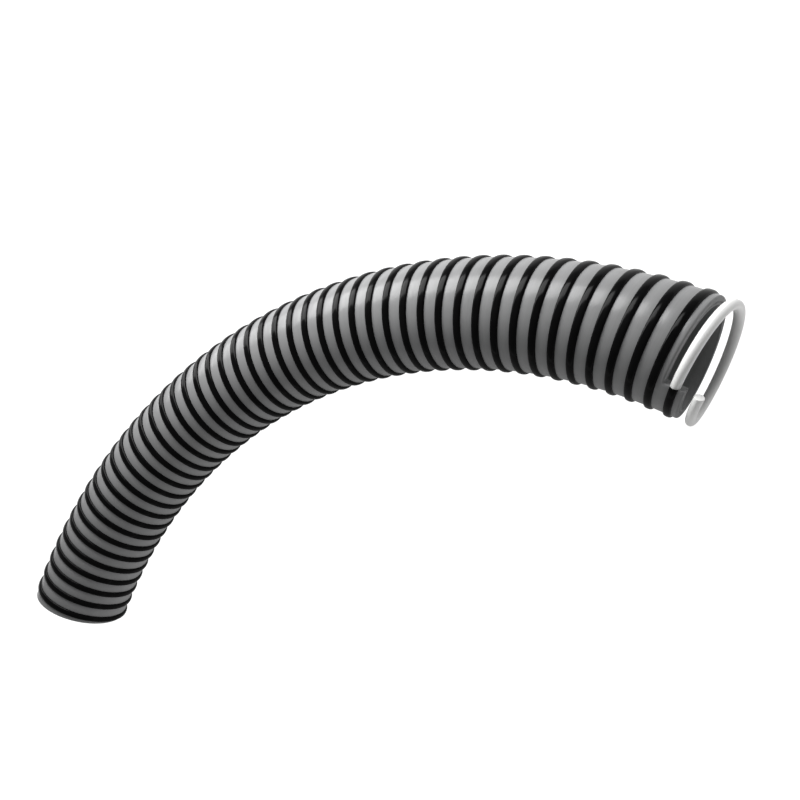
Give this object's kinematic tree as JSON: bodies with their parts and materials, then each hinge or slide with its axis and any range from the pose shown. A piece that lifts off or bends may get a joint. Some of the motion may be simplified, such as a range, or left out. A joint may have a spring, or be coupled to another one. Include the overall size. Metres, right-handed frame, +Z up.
{
  "type": "pvc suction hose",
  "caption": "Bent length of ribbed soft PVC suction hose with a helical rub rib, cut square at one end and stripped back to its bare stiff helix at the other.",
  "frame": {"origin": "under the middle of the hose's box, on the floor that it lies on", "axes": "+Z up; +X towards the stripped end, along the longest side of the box; -Y out of the square-cut end"},
  "size_m": [0.3656, 0.3332, 0.0623],
  "materials": {
    "grey_soft_pvc": "grey soft PVC with a dull gloss, smooth between the ribs",
    "black_soft_pvc": "black soft PVC of the rub rib, satin, welded to the wall in one with it",
    "white_rigid_pvc": "white rigid PVC of the bare helix, satin, with a plain cut end"
  },
  "bodies": {
    "root": {"hose_wall": "grey_soft_pvc", "helix_wire": "white_rigid_pvc"}
  },
  "joints": []
}
